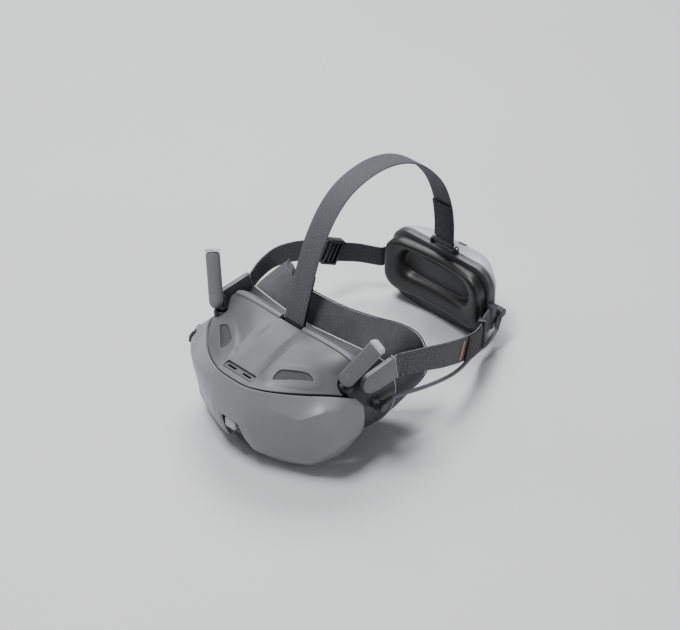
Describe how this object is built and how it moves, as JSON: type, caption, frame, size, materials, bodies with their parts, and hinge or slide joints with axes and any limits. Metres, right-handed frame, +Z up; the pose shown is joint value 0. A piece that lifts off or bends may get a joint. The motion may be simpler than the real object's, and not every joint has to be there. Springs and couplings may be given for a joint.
{
  "type": "fpv goggles",
  "caption": "Head-worn video goggles with a wraparound visor, fold-out antennas, face cushion, side bands, an over-head strap and a battery box behind the head.",
  "frame": {"origin": "centre of the footprint on the table, between the visor and the battery box", "axes": "+X to the side with the power lead, +Y from the visor towards the battery box, +Z up"},
  "size_m": [0.1908, 0.2838, 0.2003],
  "materials": {
    "visor_plastic": "fine moulded texture",
    "shell_plastic": "fine moulded texture",
    "dark_plastic": "satin",
    "trim_plastic": "satin",
    "light_plastic": "satin",
    "cover_plastic": "satin",
    "steel": "polished",
    "cushion_fabric": "knitted",
    "strap_weave": "woven",
    "band_knit": "elastic weave",
    "mark_fabric": "woven",
    "skin_foam": "soft touch",
    "lens_glass": "coated",
    "board": "solder mask",
    "sink": "extruded",
    "cell_wrap": "shrink wrap",
    "lead_jacket": "matte"
  },
  "bodies": {
    "goggles": {"front_visor": "visor_plastic", "nose_cover": "dark_plastic", "nose_tab": "light_plastic", "top_shell": "shell_plastic", "vent_mesh_left": "dark_plastic", "vent_mesh_right": "dark_plastic", "slot_plate": "shell_plastic", "rear_trim": "trim_plastic", "strap_bar": "steel", "bottom_shell": "dark_plastic", "face_frame": "dark_plastic", "optics_plate": "dark_plastic", "face_cushion": "cushion_fabric", "carriage_rails": "steel", "main_board": "board", "heat_sink": "sink", "fan_housing": "dark_plastic", "power_jack": "dark_plastic", "antenna_pin_left": "dark_plastic", "antenna_pin_right": "dark_plastic", "arm_left": "trim_plastic", "arm_right": "trim_plastic", "arm_rims": "light_plastic", "case_screws": "steel", "band_right": "band_knit", "band_mark": "mark_fabric", "band_right_tail": "strap_weave", "triglide": "dark_plastic", "band_left": "band_knit", "webbing_left": "strap_weave", "adjuster": "dark_plastic", "top_strap": "strap_weave", "strap_tail_front": "strap_weave", "strap_tail_rear": "strap_weave", "battery_frame": "dark_plastic", "battery_cover": "cover_plastic", "battery_cells": "cell_wrap", "battery_board": "board", "head_cushion": "skin_foam", "strap_bracket": "dark_plastic", "lead_socket": "dark_plastic", "power_lead": "lead_jacket", "goggles_plug": "dark_plastic", "battery_plug": "dark_plastic"},
    "antenna_left": {"antenna_left": "trim_plastic"},
    "antenna_right": {"antenna_right": "trim_plastic"},
    "stick_gimbal": {"stick_gimbal": "dark_plastic"},
    "stick_yoke": {"stick_yoke": "dark_plastic"},
    "stick_cap": {"stick_cap": "dark_plastic"},
    "back_button": {"back_button": "trim_plastic"},
    "power_button": {"power_button": "dark_plastic"},
    "fan_rotor": {"fan_rotor": "dark_plastic"},
    "carriage_left": {"carriage_left": "dark_plastic", "display_left": "dark_plastic"},
    "carriage_right": {"carriage_right": "dark_plastic", "display_right": "dark_plastic"},
    "lens_left": {"lens_left": "lens_glass"},
    "lens_right": {"lens_right": "lens_glass"},
    "focus_knob_left": {"focus_knob_left": "dark_plastic"},
    "focus_knob_right": {"focus_knob_right": "dark_plastic"}
  },
  "joints": [
    {"name": "antenna_right_fold", "type": "hinge", "parent": "goggles", "child": "antenna_right", "pos_m": [0.0717, -0.0813, 0.089], "axis": [0.1205, -0.9265, 0.3564], "range_deg": [-60, 15]},
    {"name": "antenna_left_fold", "type": "hinge", "parent": "goggles", "child": "antenna_left", "pos_m": [-0.0717, -0.0813, 0.089], "axis": [-0.1205, -0.9265, 0.3564], "range_deg": [-15, 60]},
    {"name": "stick_press", "type": "slide", "parent": "goggles", "child": "stick_gimbal", "axis": [0.6211, 0.4208, -0.6612], "range_m": [0, 0.0005], "stiffness_N_per_m": 400},
    {"name": "stick_tilt_up", "type": "hinge", "parent": "stick_gimbal", "child": "stick_yoke", "pos_m": [-0.06865, -0.10439, 0.0634], "axis": [-0.5608, 0.8279, 0], "range_deg": [-7, 7], "stiffness_Nm_per_rad": 0.02},
    {"name": "stick_tilt_side", "type": "hinge", "parent": "stick_yoke", "child": "stick_cap", "pos_m": [-0.06865, -0.10439, 0.0634], "axis": [-0.5474, -0.3708, -0.7502], "range_deg": [-7, 7], "stiffness_Nm_per_rad": 0.02},
    {"name": "back_button_press", "type": "slide", "parent": "goggles", "child": "back_button", "axis": [0.6211, 0.4208, -0.6612], "range_m": [0, 0.0007], "stiffness_N_per_m": 400},
    {"name": "power_button_press", "type": "slide", "parent": "goggles", "child": "power_button", "axis": [0, -0.5878, -0.809], "range_m": [0, 0.0004], "stiffness_N_per_m": 400},
    {"name": "fan_spin", "type": "hinge", "parent": "goggles", "child": "fan_rotor", "pos_m": [0, -0.113, 0.056], "axis": [0, 1, 0], "continuous": true},
    {"name": "eye_distance_left", "type": "slide", "parent": "goggles", "child": "carriage_left", "axis": [1, 0, 0], "range_m": [-0.0035, 0.0035]},
    {"name": "focus_turn_left", "type": "hinge", "parent": "carriage_left", "child": "focus_knob_left", "pos_m": [-0.032, -0.085, 0], "axis": [0, 0, 1], "range_deg": [-60, 60]},
    {"name": "lens_focus_left", "type": "slide", "parent": "carriage_left", "child": "lens_left", "axis": [0, 1, 0], "range_m": [-0.002, 0.002]},
    {"name": "eye_distance_right", "type": "slide", "parent": "goggles", "child": "carriage_right", "axis": [1, 0, 0], "range_m": [-0.0035, 0.0035]},
    {"name": "focus_turn_right", "type": "hinge", "parent": "carriage_right", "child": "focus_knob_right", "pos_m": [0.032, -0.085, 0], "axis": [0, 0, 1], "range_deg": [-60, 60]},
    {"name": "lens_focus_right", "type": "slide", "parent": "carriage_right", "child": "lens_right", "axis": [0, 1, 0], "range_m": [-0.002, 0.002]}
  ],
  "couplings": [
    {"joint": "focus_turn_left", "follows": "lens_focus_left", "rad_per_m": 520},
    {"joint": "focus_turn_right", "follows": "lens_focus_right", "rad_per_m": 520}
  ]
}
